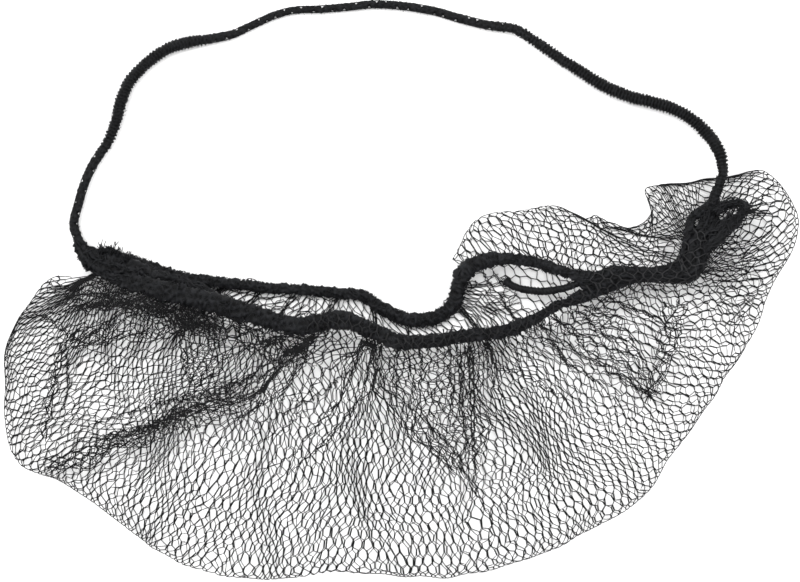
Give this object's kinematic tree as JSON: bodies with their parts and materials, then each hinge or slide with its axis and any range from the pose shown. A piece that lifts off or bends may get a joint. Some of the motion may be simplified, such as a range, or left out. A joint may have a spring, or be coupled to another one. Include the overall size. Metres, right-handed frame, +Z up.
{
  "type": "beard net",
  "caption": "Honeycomb net pouch with an elastic edging round its open mouth and an elastic neck loop, lying flat. It holds a beard in.",
  "frame": {"origin": "on the surface that the net lies on, under the middle of the net pouch, its edgings and its knots", "axes": "+X across the net from the left knot towards the right knot, +Y from the net's closed edge towards the neck loop, +Z up from the surface"},
  "size_m": [0.2589, 0.1894, 0.0148],
  "materials": {
    "net_thread": "fine black nylon thread, slightly glossy",
    "elastic": "knitted charcoal-black elastic, matt and slightly fuzzy"
  },
  "bodies": {
    "root": {"front_net": "net_thread", "back_net": "net_thread", "front_edging": "elastic", "back_edging": "elastic", "neck_loop": "elastic", "left_knot": "elastic", "right_knot": "elastic", "right_bow": "elastic", "loose_tail": "elastic"}
  },
  "joints": []
}
